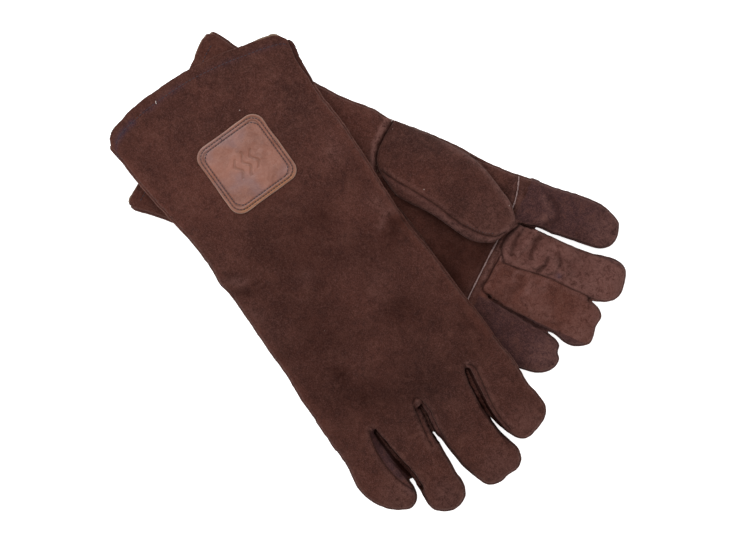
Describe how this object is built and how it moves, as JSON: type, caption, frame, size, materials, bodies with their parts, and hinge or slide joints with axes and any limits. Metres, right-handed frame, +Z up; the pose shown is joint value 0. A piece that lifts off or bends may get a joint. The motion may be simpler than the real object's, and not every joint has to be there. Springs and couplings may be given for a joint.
{
  "type": "heat resistant glove pair",
  "caption": "Pair of long suede gauntlets that keep a cook's hands and forearms from the heat of a grill, laid flat and crossed at the cuffs.",
  "frame": {"origin": "middle of the bounding box's underside, on the table", "axes": "+X along the lower (left) glove from its cuff to its fingertips, +Y towards its thumb side, +Z up"},
  "size_m": [0.4166, 0.3148, 0.0468],
  "materials": {
    "brown_suede": "matt brushed nap",
    "red_brown_suede": "matt worn nap",
    "purple_brown_suede": "matt brushed nap",
    "patch_leather": "smooth grained, satin",
    "pale_welt": "raw edge",
    "dark_thread": "twisted thread",
    "hem_thread": "twisted thread",
    "lining": "brushed cotton"
  },
  "bodies": {
    "left_hand": {"left_back": "brown_suede", "left_palm": "brown_suede", "left_finger_roots": "red_brown_suede", "left_palm_welt": "pale_welt", "left_side_welts": "brown_suede", "left_lining": "lining", "left_hem_thread": "hem_thread", "left_thumb_root": "brown_suede", "left_little_back": "brown_suede", "left_little_front": "purple_brown_suede", "left_little_gusset": "purple_brown_suede"},
    "left_thumb": {"left_thumb_back": "purple_brown_suede", "left_thumb_front": "brown_suede", "left_thumb_strip": "purple_brown_suede"},
    "left_index": {"left_index_back": "brown_suede", "left_index_front": "purple_brown_suede", "left_index_gusset": "purple_brown_suede"},
    "left_middle": {"left_middle_back": "brown_suede", "left_middle_front": "red_brown_suede", "left_middle_gusset": "purple_brown_suede"},
    "left_ring": {"left_ring_back": "brown_suede", "left_ring_front": "red_brown_suede", "left_ring_gusset": "purple_brown_suede"},
    "right_hand": {"right_back": "brown_suede", "right_palm": "brown_suede", "right_finger_roots": "red_brown_suede", "right_palm_welt": "pale_welt", "right_side_welts": "brown_suede", "right_lining": "lining", "right_hem_thread": "hem_thread", "right_thumb_root": "brown_suede", "right_thumb_back": "purple_brown_suede", "right_thumb_front": "brown_suede", "right_thumb_strip": "purple_brown_suede", "right_patch": "patch_leather", "right_patch_thread": "dark_thread"},
    "right_index": {"right_index_back": "brown_suede", "right_index_front": "purple_brown_suede", "right_index_gusset": "purple_brown_suede"},
    "right_middle": {"right_middle_back": "brown_suede", "right_middle_front": "red_brown_suede", "right_middle_gusset": "purple_brown_suede"},
    "right_ring": {"right_ring_back": "brown_suede", "right_ring_front": "red_brown_suede", "right_ring_gusset": "purple_brown_suede"},
    "right_little": {"right_little_back": "brown_suede", "right_little_front": "purple_brown_suede", "right_little_gusset": "purple_brown_suede"}
  },
  "joints": [
    {"name": "right_glove_lift", "type": "slide", "parent": "left_hand", "child": "right_hand", "axis": [0, 0, 1], "range_m": [0, 0.25]},
    {"name": "left_thumb_open", "type": "hinge", "parent": "left_hand", "child": "left_thumb", "pos_m": [0.02779, 0.11404, 0.0303], "axis": [-0.8455, -0.534, 0], "range_deg": [0, 75]},
    {"name": "left_index_flex", "type": "hinge", "parent": "left_hand", "child": "left_index", "pos_m": [0.11328, 0.11864, 0.018], "axis": [0, -1, 0], "range_deg": [0, 60]},
    {"name": "left_middle_flex", "type": "hinge", "parent": "left_hand", "child": "left_middle", "pos_m": [0.11328, 0.08464, 0.018], "axis": [0, -1, 0], "range_deg": [0, 60]},
    {"name": "left_ring_flex", "type": "hinge", "parent": "left_hand", "child": "left_ring", "pos_m": [0.11328, 0.05284, 0.018], "axis": [0, -1, 0], "range_deg": [0, 60]},
    {"name": "right_index_raise", "type": "hinge", "parent": "right_hand", "child": "right_index", "pos_m": [0.1213, -0.00391, 0.0435], "axis": [-0.4772, -0.8788, 0], "range_deg": [0, 50]},
    {"name": "right_middle_raise", "type": "hinge", "parent": "right_hand", "child": "right_middle", "pos_m": [0.10241, -0.03871, 0.032], "axis": [-0.4772, -0.8788, 0], "range_deg": [0, 50]},
    {"name": "right_ring_raise", "type": "hinge", "parent": "right_hand", "child": "right_ring", "pos_m": [0.08046, -0.07913, 0.022], "axis": [-0.4772, -0.8788, 0], "range_deg": [0, 50]},
    {"name": "right_little_raise", "type": "hinge", "parent": "right_hand", "child": "right_little", "pos_m": [0.06223, -0.1127, 0.018], "axis": [-0.4772, -0.8788, 0], "range_deg": [0, 50]}
  ]
}
